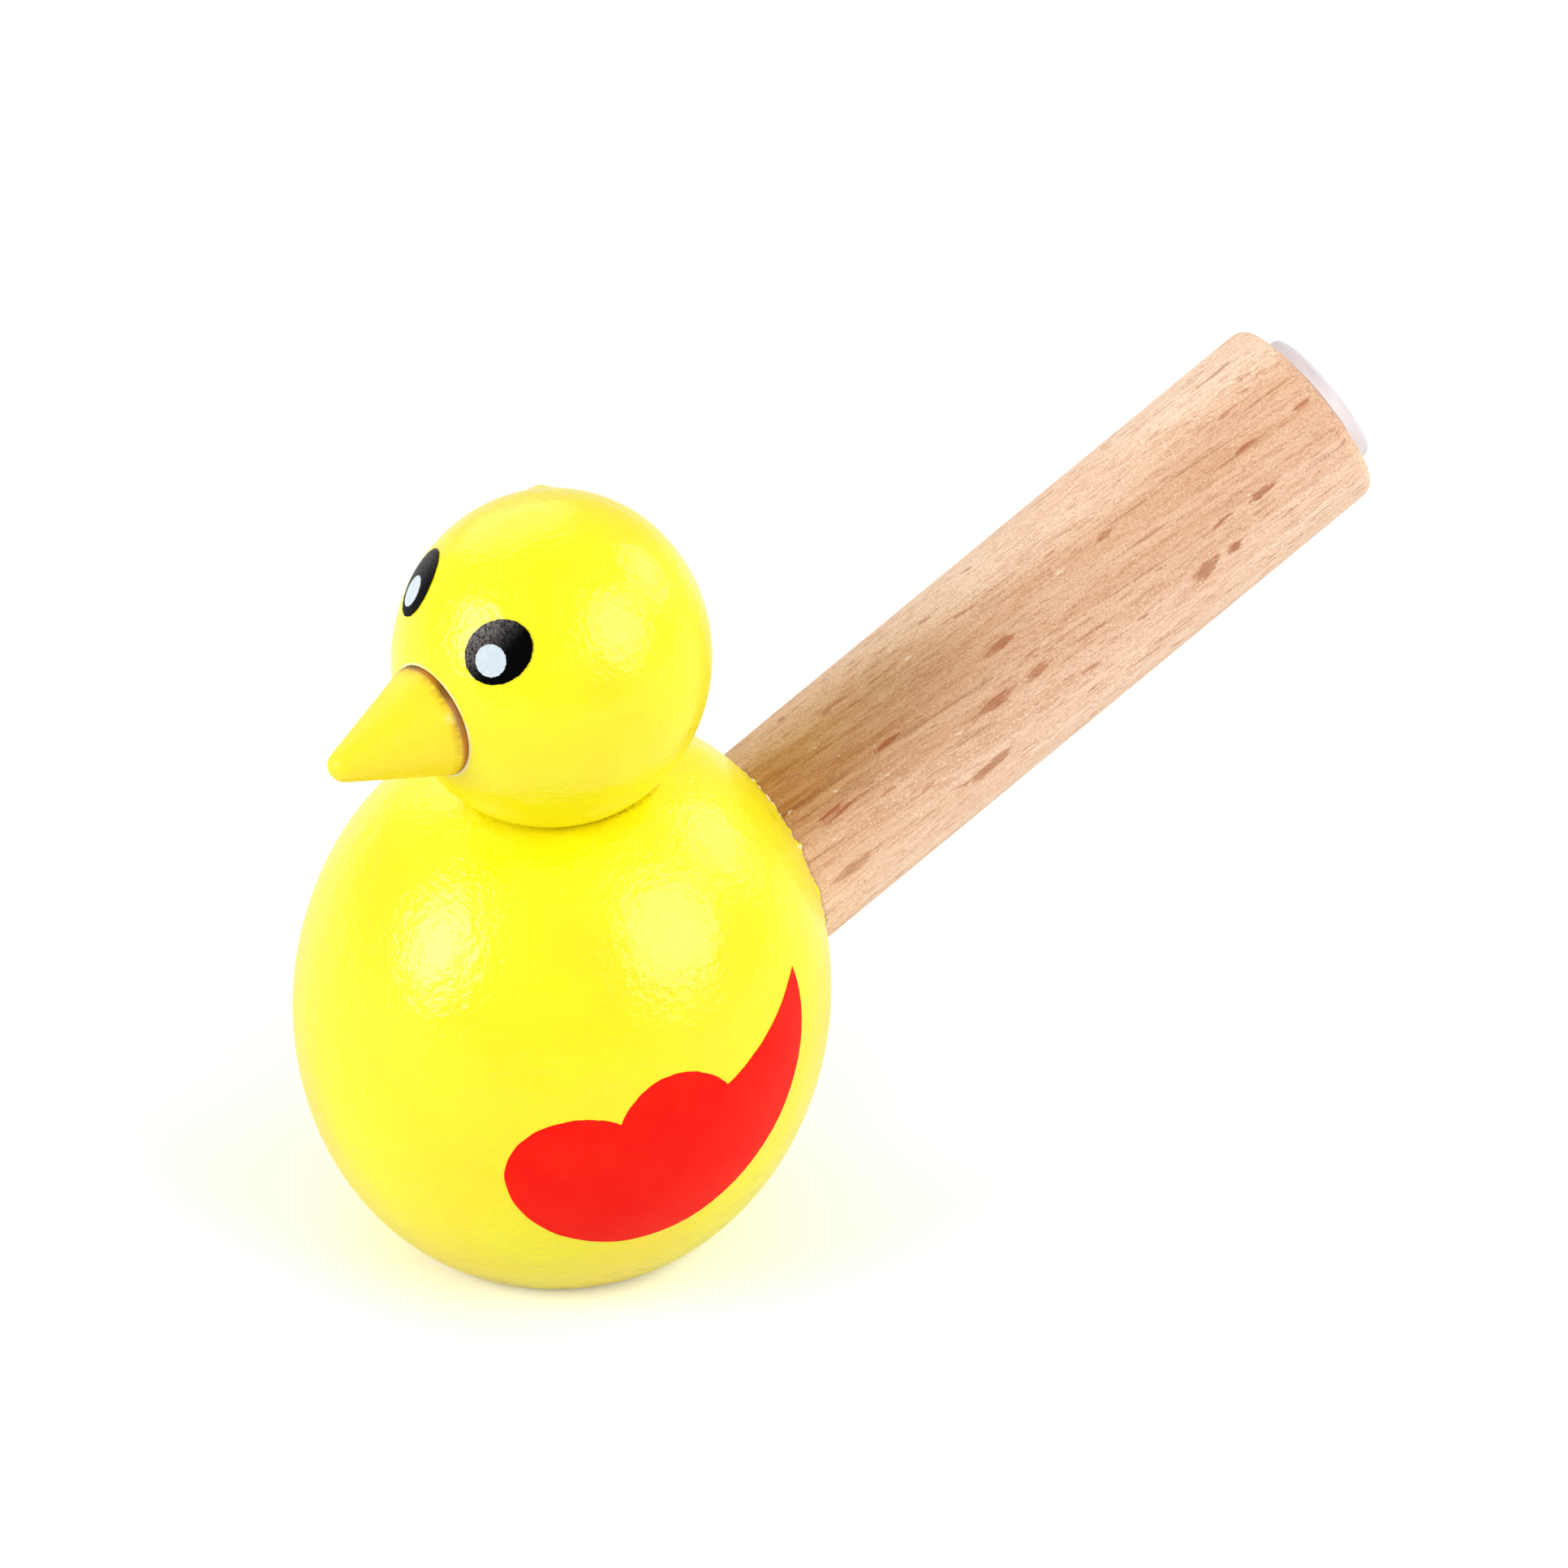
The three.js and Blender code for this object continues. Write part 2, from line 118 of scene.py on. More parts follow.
# Wood: the grain runs a little across the dowel, and its rings are round a pith outside it
# Painted shade is by the body, on one side, tinted olive as by the yellow body's reflected light, and the
# middle of the near side is darkened by painted shade where the lamps at the sides light it least
GRAIN_DIRECTION = (0.07, -0.08, 1)
PITH_FROM_AXIS = (9 * MM, -16 * MM, 0)
RINGS_PER_METRE = 430
WAVES_PER_SCALE = 20 / (2 * math.pi)
SHADE_START = 20 * MM
SHADE_END = 50 * MM
SHADE_SIDE = (-0.68, 0.73, 0)
NEAR_SIDE = (-0.73, -0.68, 0)
MIDDLE_SHADE = (0.8, 0.68, 0.6, 1)

# The larger flecks on the tail's near side
# Each has millimetres along the tail, degrees round it, millimetres long and wide, and depth of colour
FLECKS = (
    (25.3, -132, 2.8, 0.34, 1.0),
    (25.9, -128.5, 2.8, 0.3, 0.9),
    (32.1, -142, 2.6, 0.45, 0.9),
    (43.8, -144, 2.9, 0.7, 0.8),
    (40.5, -121, 4.0, 0.8, 0.7),
    (44.9, -119.5, 2.2, 0.6, 0.7),
    (60.3, -101.5, 2.5, 1.3, 0.75),
    (63.2, -101.5, 1.6, 0.8, 0.85),
    (63.3, -118.5, 2.6, 0.35, 0.9),
    (67.2, -116.5, 2.6, 0.5, 0.8),
    (68.3, -142.5, 2.0, 0.45, 0.9),
    (73.9, -141, 1.6, 0.4, 0.8),
    (37.5, -91, 4.5, 1.0, 0.7),
    (24.3, -98, 3.8, 0.9, 0.55),
    (71.1, -192, 3.5, 0.5, 0.6),
    (55.7, -154, 1.8, 0.6, 0.6),
    (27.7, -202.5, 0.9, 0.8, 0.6),
)

# A rubbed place on the beak's shoulder, from the head's centre
WEAR_SPOT = Vector((-12.2, -4.3, 1.7)) * MM

# A nub of paint on the back of the head, in the direction given from the head's centre
NUB_DIRECTION = Vector((0.27, 0.53, 0.80)).normalized()
NUB_DISTANCE = 12.95 * MM
NUB_HEIGHT = 0.3 * MM
NUB_RADIUS = 0.85 * MM

# Ink marks: thin films with slightly wavy edges, and a mesh as fine as their spacing
# Turn and rise give the way to an eye or dot from the head's centre, and the eyes' ink has a painted sheen
# on one side
INK_LIFT = 0.006 * MM
INK_THICKNESS = 0.04 * MM
INK_WAVES = 0.013 * MM
EYE_TURN = math.radians(32.9)
EYE_RISE = math.radians(35.7)
EYE_LONG_RADIUS = 2.88 * MM
EYE_SHORT_RADIUS = 2.4 * MM
EYE_TILT = math.radians(42)
DOT_TURN = math.radians(30.8)
DOT_RISE = math.radians(32.1)
DOT_RADIUS = 1.27 * MM
SHEEN_SIDE = Vector((-0.4, 0.72, 0.56))
WING_SPACING = 0.7 * MM
EYE_SPACING = 0.4 * MM
DOT_SPACING = 0.3 * MM

# Camera: level, looking down at the bird, far away, so that its lines run almost parallel
CAMERA_TURN = math.radians(-33.5)
CAMERA_RISE = math.radians(36.3)
CAMERA_DISTANCE = 4.0
CAMERA_NEAREST = 0.1
CAMERA_FARTHEST = 20
SENSOR = 36
VIEW_WIDTH = 120.75 * MM
BODY_FROM_MIDDLE = Vector((-17.09, -16.32)) * MM

# Lamps: direction in the camera's axes (right, up, back), width across in metres, and brightness
LAMP_DISTANCE = 0.7
LAMPS = {
    "left_box": ((-0.84, 0.15, 0.52), 0.44, 6.6),
    "right_box": ((0.73, 0.2, 0.65), 0.58, 3.55),
    "back_box": ((0.79, 0.61, -0.08), 0.4, 2.4),
    "top_box": ((-0.3, 0.9, -0.3), 0.7, 1.15),
}

# White ground: how brightly it is seen, how it lights the bird, and how much of it gloss mirrors
SEEN_BRIGHTNESS = 1.0
WORLD_LIGHT = 0.45
WORLD_MIRRORED = 0.2
FLOOR_HALF_WIDTH = 3.0
FLOOR_GREY = 0.75
FLOOR_GLOW = 0.12
FLOOR_MIRRORED = 0.2

# Steps round the turned shapes and along their outlines
BODY_SIDES = 320
BODY_STEPS = 200
HEAD_SIDES = 256
HEAD_STEPS = 160
ROUND_SIDES = 160
BORE_SIDES = 96
BEAK_SHOULDER_STEPS = 12
BEAK_CONE_STEPS = 28
BEAK_TIP_STEPS = 24
TUBE_STEPS = 59
TUBE_ROUNDING_STEPS = 14
FLANGE_ROUNDING_STEPS = 10
WING_CURVE_STEPS = 24
OVAL_STEPS = 96

# Edges are sharp where faces turn by more than this
SHARP_TURN = math.radians(35)

# A radius under this is a point on the axis, and points of an ink mark closer than this are one
ON_AXIS = 1e-9
SAME_POINT = 1e-7

# Halvings of a ray's length when the place where it leaves an egg is looked for
HALVINGS = 45


# Shapes

def mesh_object(name, verts, faces):
    mesh = bpy.data.meshes.new(name)
    mesh.from_pydata([tuple(v) for v in verts], [], faces)
    mesh.validate()
    obj = bpy.data.objects.new(name, mesh)
    bpy.context.scene.collection.objects.link(obj)
    return obj


def transformed(points, matrix):
    m = np.array(matrix)
    return np.asarray(points) @ m[:3, :3].T + m[:3, 3]


def turned_shape(profile, sides):
    """A profile of (radius, height) rows turned about Z. Ends on the axis become poles."""
    verts, faces, rings = [], [], []
    angles = np.arange(sides) * 2 * math.pi / sides
    for radius, height in profile:
        start = len(verts)
        if radius < ON_AXIS:
            verts.append((0, 0, height))
            rings.append([start] * sides)
            continue
        verts += [(radius * math.cos(a), radius * math.sin(a), height) for a in angles]
        rings.append(list(range(start, start + sides)))
    for low, high in zip(rings, rings[1:]):
        for i in range(sides):
            j = (i + 1) % sides
            corners = [low[i], low[j], high[j], high[i]]
            unique = list(dict.fromkeys(corners))
            if len(unique) > 2:
                faces.append(unique)
    return np.array(verts), faces


def turned_ring(profile, sides):
    """Like turned_shape, for a profile that closes on itself away from the axis."""
    verts, faces = turned_shape(profile, sides)
    last = (len(profile) - 1) * sides
    for i in range(sides):
        j = (i + 1) % sides
        faces.append([last + i, last + j, j, i])
    return verts, faces


def arc(centre, radius, start, end, steps):
    angles = np.linspace(start, end, steps + 1)
    return [(centre[0] + radius * math.cos(a), centre[1] + radius * math.sin(a)) for a in angles]


def egg_place(centre, lean):
    """Takes +Z to the axis of an egg that leans back, towards +X."""
    return Matrix.Translation(centre) @ Matrix.Rotation(lean, 4, "Y")


def along_place(start, turn):
    """Takes +Z to a direction in the XZ plane that is turned from it towards +X."""
    return Matrix.Translation(start) @ Matrix.Rotation(turn, 4, "Y")


TAIL_PLACE = along_place(TAIL_START, math.pi / 2 - TAIL_SLOPE)
BEAK_AXIS = Vector((
    -math.cos(BEAK_DROOP) * math.cos(BEAK_TURN),
    -math.cos(BEAK_DROOP) * math.sin(BEAK_TURN),
    -math.sin(BEAK_DROOP),
))
BEAK_PLACE = Matrix.Translation(HEAD_CENTRE) @ BEAK_AXIS.to_track_quat("Z", "Y").to_matrix().to_4x4()
BEAK_EDGE = math.sqrt(HEAD_RADIUS ** 2 - BEAK_RADIUS ** 2)
BODY_PLACE = egg_place(BODY_CENTRE, BODY_LEAN)
HEAD_PLACE = egg_place(HEAD_CENTRE, HEAD_LEAN)
DOWEL_PLACE = Matrix.Translation((HEAD_CENTRE.x, 0, 0))


def egg_points(radius, half_height, fullness, steps):
    """Half an egg's outline, from its lowest point to its highest."""
    rises = np.linspace(-math.pi / 2, math.pi / 2, steps + 1)
    radii = radius * np.clip(np.cos(rises), 0, 1) ** fullness
    radii[[0, -1]] = 0
    return list(zip(radii, half_height * np.sin(rises)))


def soft_max(values, limit, rounding):
    """The larger of each value and the limit, with a round corner where the two meet."""
    gap = values - limit
    return limit + (gap + np.sqrt(gap * gap + rounding * rounding)) / 2 - rounding / 4


def cylinder(name, radius, low, high, place, sides=BORE_SIDES):
    profile = [(0, low), (radius, low), (radius, high), (0, high)]
    verts, faces = turned_shape(profile, sides)
    return mesh_object(name, transformed(verts, place), faces)


def cut_away(obj, cutters):
    """Cuts the closed cutters out of the object and deletes them."""
    for cutter in cutters:
        step = obj.modifiers.new("cut", "BOOLEAN")
        step.operation = "DIFFERENCE"
        step.solver = "EXACT"
        step.object = cutter
    graph = bpy.context.evaluated_depsgraph_get()
    mesh = bpy.data.meshes.new_from_object(obj.evaluated_get(graph))
    obj.modifiers.clear()
    obj.data = mesh
    for cutter in cutters:
        bpy.data.objects.remove(cutter)


def shade(obj):
    """Smooth faces, with the sharp edges kept."""
    bm = bmesh.new()
    bm.from_mesh(obj.data)
    bmesh.ops.recalc_face_normals(bm, faces=bm.faces)
    for face in bm.faces:
        face.smooth = True
    for edge in bm.edges:
        edge.smooth = len(edge.link_faces) == 2 and edge.calc_face_angle(0) < SHARP_TURN
    bm.to_mesh(obj.data)
    bm.free()


def finish_piece(obj, node, material):
    """Shades the piece, paints it, and lets it stand for its node on the bird."""
    shade(obj)
    obj.data.materials.clear()
    obj.data.materials.append(material)
    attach(obj, "bird")
    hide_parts(node)


# Materials

class Nodes:
    """Short ways to add nodes to one material."""

    def __init__(self, name):
        self.material = bpy.data.materials.new(name)
        self.material.use_nodes = True
        self.tree = self.material.node_tree
        self.bsdf = self.tree.nodes["Principled BSDF"]

    def add(self, kind, inputs=None, **settings):
        node = self.tree.nodes.new(kind)
        for key, value in settings.items():
            setattr(node, key, value)
        for key, value in (inputs or {}).items():
            self.put(node.inputs[key], value)
        return node

    def put(self, socket, value):
        if isinstance(value, bpy.types.NodeSocket):
            self.tree.links.new(value, socket)
        else:
            socket.default_value = value

    def where(self, place=Matrix(), stretch=(1, 1, 1)):
        """The point in the place's own axes, in metres, with a pattern there drawn out by the stretch."""
        here = self.add("ShaderNodeTexCoord").outputs["Object"]
        turn = place.to_euler()
        inputs = {"Vector": here, "Location": place.translation, "Rotation": turn, "Scale": stretch}
        return self.add("ShaderNodeMapping", inputs, vector_type="TEXTURE").outputs["Vector"]

    def noise(self, vector, scale, detail=2, roughness=0.5):
        inputs = {"Vector": vector, "Scale": scale, "Detail": detail, "Roughness": roughness}
        return self.add("ShaderNodeTexNoise", inputs).outputs["Fac"]

    def ramp(self, value, low, high, start=0.0, end=1.0):
        inputs = {"Value": value, "From Min": low, "From Max": high, "To Min": start, "To Max": end}
        return self.add("ShaderNodeMapRange", inputs, interpolation_type="SMOOTHSTEP").outputs["Result"]

    def math(self, operation, a, b=0.0):
        return self.add("ShaderNodeMath", {0: a, 1: b}, operation=operation).outputs[0]

    def mix(self, amount, first, second, blend="MIX"):
        node = self.add("ShaderNodeMix", data_type="RGBA", blend_type=blend)
        self.put(node.inputs["Factor"], amount)
        self.put(node.inputs["A"], first)
        self.put(node.inputs["B"], second)
        return node.outputs["Result"]

    def bump(self, height, distance, strength=1.0, below=None):
        inputs = {"Height": height, "Distance": distance, "Strength": strength}
        node = self.add("ShaderNodeBump", inputs)
        if below is not None:
            self.put(node.inputs["Normal"], below)
        return node.outputs["Normal"]

    def set(self, **sockets):
        for key, value in sockets.items():
            self.put(self.bsdf.inputs[key.replace("_", " ")], value)


def linear(red, green, blue):
    """A colour as seen on a screen, 0 to 255, as linear light."""
    def one(value):
        share = value / 255
        return share / 12.92 if share <= 0.04045 else ((share + 0.055) / 1.055) ** 2.4
    return (one(red), one(green), one(blue), 1)


def paint_material(name, colour, deep, pale, roughness, marks=()):
    """Paint on turned wood: broad waves, a skin like orange peel that comes and goes, faint turning lines.

    The marks are functions that give how strongly, and in which colour, the paint is marked.
    """
    n = Nodes(name)
    broad = n.noise(n.where(), 80, 2)
    patches = n.noise(n.where(), 150, 2)
    lumps = n.noise(n.where(), 420, 3, 0.55)
    peel = n.noise(n.where(), 1800, 2, 0.55)
    fine = n.noise(n.where(), 5000, 2, 0.6)
    turning = n.noise(n.where(Matrix(), (8, 8, 1)), 900, 3, 0.55)
    tone = n.mix(n.ramp(broad, 0.35, 0.65), deep, colour)
    tone = n.mix(n.ramp(turning, 0.5, 0.9, 0, 0.5), tone, pale)
    for mark in marks:
        amount, mark_colour = mark(n)
        tone = n.mix(amount, tone, mark_colour)
    n.set(Base_Color=tone, Roughness=n.ramp(patches, 0.3, 0.7, roughness, roughness + 0.06), IOR=1.55)
    wavy = n.bump(lumps, 0.17 * MM, below=n.bump(broad, 0.15 * MM))
    lined = n.bump(turning, 0.008 * MM, below=wavy)
    skin = n.math("MULTIPLY", peel, n.ramp(patches, 0.3, 0.65, 0.5, 1.0))
    peeled = n.bump(skin, 0.09 * MM, below=lined)
    n.set(Normal=n.bump(fine, 0.002 * MM, below=peeled))
    return n.material


def height_in(n, place):
    """Height along the place's third axis."""
    return n.add("ShaderNodeSeparateXYZ", {"Vector": n.where(place)}).outputs["Z"]


def distance_from_axis(n, place):
    """Distance from the place's third axis."""
    flat = n.add("ShaderNodeVectorMath", {0: n.where(place), 1: (1, 1, 0)}, operation="MULTIPLY").outputs[0]
    return n.add("ShaderNodeVectorMath", {0: flat}, operation="LENGTH").outputs["Value"]


def share_of_radius(n, side):
    """How far out a point of the tail lies on one side, from -1 to 1."""
    out = n.add("ShaderNodeVectorMath", {0: n.where(TAIL_PLACE), 1: side}, operation="DOT_PRODUCT")
    return n.math("DIVIDE", out.outputs["Value"], TUBE_RADIUS)


def pale_rim_round_beak(n):
    """The head's paint is worn thin on the rim of the beak's recess."""
    ragged = n.math("MULTIPLY", n.noise(n.where(), 1800, 2), 0.25 * MM)
    reach = n.math("ADD", ragged, distance_from_axis(n, BEAK_PLACE))
    recess = BEAK_RADIUS + BEAK_SEAM
    rim = n.ramp(reach, recess + 0.42 * MM, recess + 0.2 * MM)
    ahead = n.ramp(height_in(n, BEAK_PLACE), 4 * MM, 5 * MM)
    broken = n.ramp(n.noise(n.where(), 420, 2), 0.3, 0.55, 0.3, 0.85)
    return n.math("MULTIPLY", n.math("MULTIPLY", rim, ahead), broken), linear(255, 240, 190)


def glue_and_shade_at_neck(n):
    """Glue and painted shade show in short dark dots in the seam between head and body."""
    height = n.math("ABSOLUTE", height_in(n, Matrix.Translation((0, 0, NECK_HEIGHT))))
    dots = n.ramp(n.noise(n.where(), 2200, 2), 0.4, 0.6, 0.3, 0.75)
    return n.math("MULTIPLY", n.ramp(height, 0.24 * MM, 0.08 * MM), dots), linear(150, 124, 0)


def pale_chips_round_tail(n):
    """The body's paint is chipped here and there on the rim of the tail's socket."""
    chips = n.ramp(n.noise(n.where(), 1500, 2), 0.5, 0.58)
    rim = n.ramp(distance_from_axis(n, TAIL_PLACE), TUBE_RADIUS + 0.4 * MM, TUBE_RADIUS + 0.15 * MM)
    behind = n.ramp(height_in(n, TAIL_PLACE), 0, 5 * MM)
    return n.math("MULTIPLY", n.math("MULTIPLY", chips, rim), behind), linear(255, 238, 190)


def painted_shade_at_beak_base(n):
    """Painted shade on the beak's round shoulder: short brown streaks, and a strong orange band along the
    seam with the head.
    """
    height = height_in(n, BEAK_PLACE)
    streaks = n.noise(n.where(BEAK_PLACE, (1, 1, 5)), 2300, 2, 0.6)
    patches = n.noise(n.where(), 300, 1)
    near = n.ramp(height, BEAK_EDGE + 1.4 * MM, BEAK_EDGE + 0.5 * MM)
    near = n.math("MULTIPLY", near, n.ramp(patches, 0.35, 0.6, 0.6, 1.0))
    reach = n.math("MULTIPLY", near, n.ramp(streaks, 0.3, 0.65, 0.3, 1.0))
    uneven = n.math("ADD", patches, n.math("MULTIPLY", streaks, 0.6))
    ragged = n.math("SUBTRACT", height, n.math("MULTIPLY", uneven, 0.3 * MM))
    seam = n.ramp(ragged, BEAK_EDGE + 0.62 * MM, BEAK_EDGE + 0.1 * MM)
    amount = n.math("MAXIMUM", n.math("MULTIPLY", reach, 0.8), n.math("MULTIPLY", seam, 0.95))
    brown = n.mix(n.ramp(patches, 0.4, 0.6), linear(180, 100, 0), linear(116, 56, 0))
    return amount, n.mix(seam, linear(206, 136, 0), brown)


def pale_wear_on_shoulder(n):
    """A small place on the shoulder where the beak's paint is rubbed pale."""
    spot = HEAD_CENTRE + WEAR_SPOT
    away = n.add("ShaderNodeVectorMath", {0: n.where(), 1: spot}, operation="DISTANCE").outputs["Value"]
    speckle = n.ramp(n.noise(n.where(), 1700, 3, 0.6), 0.3, 0.65)
    amount = n.math("MULTIPLY", n.ramp(away, 0.65 * MM, 0.1 * MM), n.math("MULTIPLY", speckle, 0.55))
    return amount, linear(255, 246, 160)


def wood_material(name):
    """Sanded beech: growth rings, fine fibres and reddish brown flecks, with painted shade near the body,
    along the middle of the near side, and in the seam with the body.
    """
    n = Nodes(name)
    grain = TAIL_PLACE @ Vector(GRAIN_DIRECTION).to_track_quat("Z", "Y").to_matrix().to_4x4()
    fibres = n.noise(n.where(grain, (1, 1, 9)), 5200, 3, 0.6)
    threads = n.noise(n.where(grain, (1, 1, 18)), 1500, 2, 0.5)
    patches = n.noise(n.where(grain, (1, 1, 3)), 160, 2)
    grit = n.noise(n.where(), 6000, 1)
    rings = n.add("ShaderNodeTexWave", {
        "Vector": n.where(grain @ Matrix.Translation(Vector(PITH_FROM_AXIS)), (1, 1, 12)),
        "Scale": RINGS_PER_METRE / WAVES_PER_SCALE,
        "Distortion": 2.2,
        "Detail": 2,
        "Detail Scale": 1.5,
    }, wave_type="RINGS", rings_direction="Z").outputs["Fac"]
    dark = linear(206, 150, 112)
    tone = n.mix(n.ramp(rings, 0.1, 0.9, 0.0, 0.5), linear(250, 217, 188), linear(239, 197, 164))
    tone = n.mix(n.ramp(threads, 0.45, 0.8, 0.0, 0.25), tone, dark)
    tone = n.mix(n.ramp(fibres, 0.45, 0.7, 0.0, 0.6), tone, dark)
    lines = n.noise(n.where(grain, (1, 1, 42)), 2800, 2, 0.5)
    tone = n.mix(n.ramp(lines, 0.6, 0.72, 0.0, 0.55), tone, linear(176, 118, 80))
    tone = n.mix(n.ramp(grit, 0.48, 0.2, 0.0, 0.9), tone, linear(255, 240, 218))
    tone = n.mix(n.ramp(grit, 0.52, 0.8, 0.0, 0.6), tone, dark)
    tone = n.mix(n.ramp(patches, 0.45, 0.75, 0.0, 0.3), tone, linear(226, 180, 142))
    height = share_of_radius(n, SHADE_SIDE)
    # Painted shade: the middle of the near side is darker, where the lamps at the sides light it least
    middle = n.math("MULTIPLY", n.ramp(height, -1.0, -0.15), n.ramp(height, 0.8, 0.3))
    middle = n.math("MULTIPLY", middle, n.ramp(threads, 0.3, 0.6, 0.8, 1.0))
    tone = n.mix(middle, tone, MIDDLE_SHADE, "MULTIPLY")
    # Painted shade near the body, tinted olive as by the yellow body's reflected light
    tone = n.mix(painted_shade_near_body(n, height, threads), tone, linear(200, 172, 98), "MULTIPLY")
    far_side = n.ramp(share_of_radius(n, NEAR_SIDE), 0.25, 0.0)
    large = n.math("MULTIPLY", flecks(n, grain, 950, 5, 0.685), far_side)
    large = n.math("MAXIMUM", large, placed_flecks(n))
    small = flecks(n, grain, 1900, 6, 0.705)
    bright = flecks(n, grain, 1900, 3, 0.76)
    russet = n.mix(fibres, linear(200, 112, 60), linear(116, 58, 16))
    tone = n.mix(n.math("MULTIPLY", large, 0.9), tone, russet)
    tone = n.mix(n.math("MULTIPLY", small, 0.6), tone, linear(180, 112, 78))
    tone = n.mix(n.math("MULTIPLY", bright, 0.5), tone, linear(255, 238, 218))
    paint, contact_shade = paint_on_wood(n)
    # Painted shade: a dark band round the tail where it goes into the body
    tone = n.mix(n.math("MULTIPLY", contact_shade, 0.4), tone, linear(150, 100, 80))
    chipped = n.ramp(n.noise(n.where(), 1700, 2), 0.52, 0.6)
    tone = n.mix(paint, tone, n.mix(chipped, linear(255, 238, 30), linear(255, 236, 205)))
    n.set(Base_Color=tone, Roughness=n.ramp(fibres, 0.3, 0.7, 0.5, 0.7), Specular_IOR_Level=0.3)
    rough = n.bump(fibres, 0.03 * MM)
    n.set(Normal=n.bump(large, 0.04 * MM, -1.0, below=n.bump(grit, 0.02 * MM, below=rough)))
    return n.material


def flecks(n, grain, per_metre, length, share):
    """Short dashes along the grain, frayed by finer ones, and fewer with a higher share."""
    spots = n.noise(n.where(grain, (1, 1, length)), per_metre, 1)
    frayed = n.noise(n.where(grain, (1, 1, 4)), 3600, 2, 0.7)
    mixed = n.math("ADD", spots, n.math("MULTIPLY", n.math("SUBTRACT", frayed, 0.5), 0.35))
    return n.ramp(mixed, share, share + 0.04)


def placed_flecks(n):
    """The listed flecks, with frayed edges."""
    frayed = n.noise(n.where(TAIL_PLACE, (1, 1, 5)), 3200, 3, 0.75)
    fray = n.math("MULTIPLY", n.math("SUBTRACT", frayed, 0.5), 3.1)
    total = 0.0
    for along, around, length, width, depth in FLECKS:
        angle = math.radians(around)
        spot = Vector((TUBE_RADIUS * math.cos(angle), TUBE_RADIUS * math.sin(angle), along * MM))
        half = (width * MM / 2, width * MM / 2, length * MM / 2)
        here = n.where(TAIL_PLACE @ Matrix.Translation(spot), half)
        away = n.add("ShaderNodeVectorMath", {0: here}, operation="LENGTH").outputs["Value"]
        total = n.math("MAXIMUM", total, n.ramp(n.math("ADD", away, fray), 1.2, 0.55, 0.0, depth))
    return total


def paint_on_wood(n):
    """Where the body's paint creeps onto the tail with a ragged edge, and the painted shade beside it, a
    dark band in the seam with the body.
    """
    wide = n.math("DIVIDE", distance_from_axis(n, BODY_PLACE), BODY_RADIUS)
    high = n.math("DIVIDE", height_in(n, BODY_PLACE), BODY_HALF_HEIGHT)
    flat = n.math("POWER", wide, 2 / BODY_FULLNESS)
    tall = n.math("POWER", n.math("ABSOLUTE", high), 2)
    size = n.math("SQRT", n.math("ADD", flat, tall))
    outside = n.math("MULTIPLY", n.math("SUBTRACT", size, 1), BODY_RADIUS)
    ragged = n.math("SUBTRACT", n.noise(n.where(), 1000, 3, 0.6), 0.5)
    reach = n.math("ADD", outside, n.math("MULTIPLY", ragged, 0.9 * MM))
    return n.ramp(reach, 0.09 * MM, 0.04 * MM), n.ramp(reach, 0.32 * MM, 0.1 * MM)


def painted_shade_near_body(n, height, threads):
    """How far painted shade darkens the wood and tints it olive as by the yellow body's reflected light:
    most by the body, up and to the bird's right.
    """
    along = n.ramp(height_in(n, TAIL_PLACE), SHADE_END, SHADE_START)
    lower = n.ramp(height, -0.4, 0.3)
    upper = n.ramp(height, 0.98, 0.6, 0.25, 1.0)
    amount = n.math("MULTIPLY", n.math("MULTIPLY", along, lower), upper)
    streaky = n.ramp(threads, 0.3, 0.6, 0.75, 1.0)
    return n.math("MULTIPLY", amount, streaky)


def sleeve_material():
    n = Nodes("sleeve_plastic")
    cloud = n.noise(n.where(), 300, 2)
    n.set(Base_Color=n.mix(cloud, linear(254, 245, 247), linear(255, 253, 254)))
    n.set(Roughness=n.ramp(cloud, 0.3, 0.7, 0.28, 0.4), Transmission_Weight=0.4, IOR=1.5)
    n.set(Normal=n.bump(n.noise(n.where(), 2000, 2), 0.004 * MM))
    return n.material


def speckled_sheen_on_eyes(n):
    """A painted highlight: the eyes' black is speckled grey towards one side."""
    here = n.where(Matrix.Translation(HEAD_CENTRE))
    across = n.add("ShaderNodeSeparateXYZ", {"Vector": here}).outputs["Y"]
    side = n.add("ShaderNodeVectorMath", {0: here, 1: SHEEN_SIDE}, operation="DOT_PRODUCT")
    height = side.outputs["Value"]
    ways_to_eyes = [head_basis(EYE_TURN, EYE_RISE, sign)[2] for _, sign in SIDES]
    left, right = (HEAD_RADIUS * way.dot(SHEEN_SIDE) for way in ways_to_eyes)
    middle = n.math("ADD", left, n.math("MULTIPLY", n.math("GREATER_THAN", across, 0), right - left))
    # Painted highlight: how far towards its lit side each eye is speckled grey
    thin = n.ramp(n.math("SUBTRACT", height, middle), -0.2 * EYE_LONG_RADIUS, EYE_LONG_RADIUS)
    speckle = n.ramp(n.noise(here, 5200, 3, 0.7), 0.32, 0.7)
    return n.math("MULTIPLY", thin, n.math("MULTIPLY", speckle, 0.85)), linear(156, 150, 148)


def grainy(n):
    """The pale ink is uneven, like a stamp's print."""
    return n.ramp(n.noise(n.where(), 3000, 3, 0.7), 0.35, 0.65, 0.0, 0.8), linear(196, 212, 222)


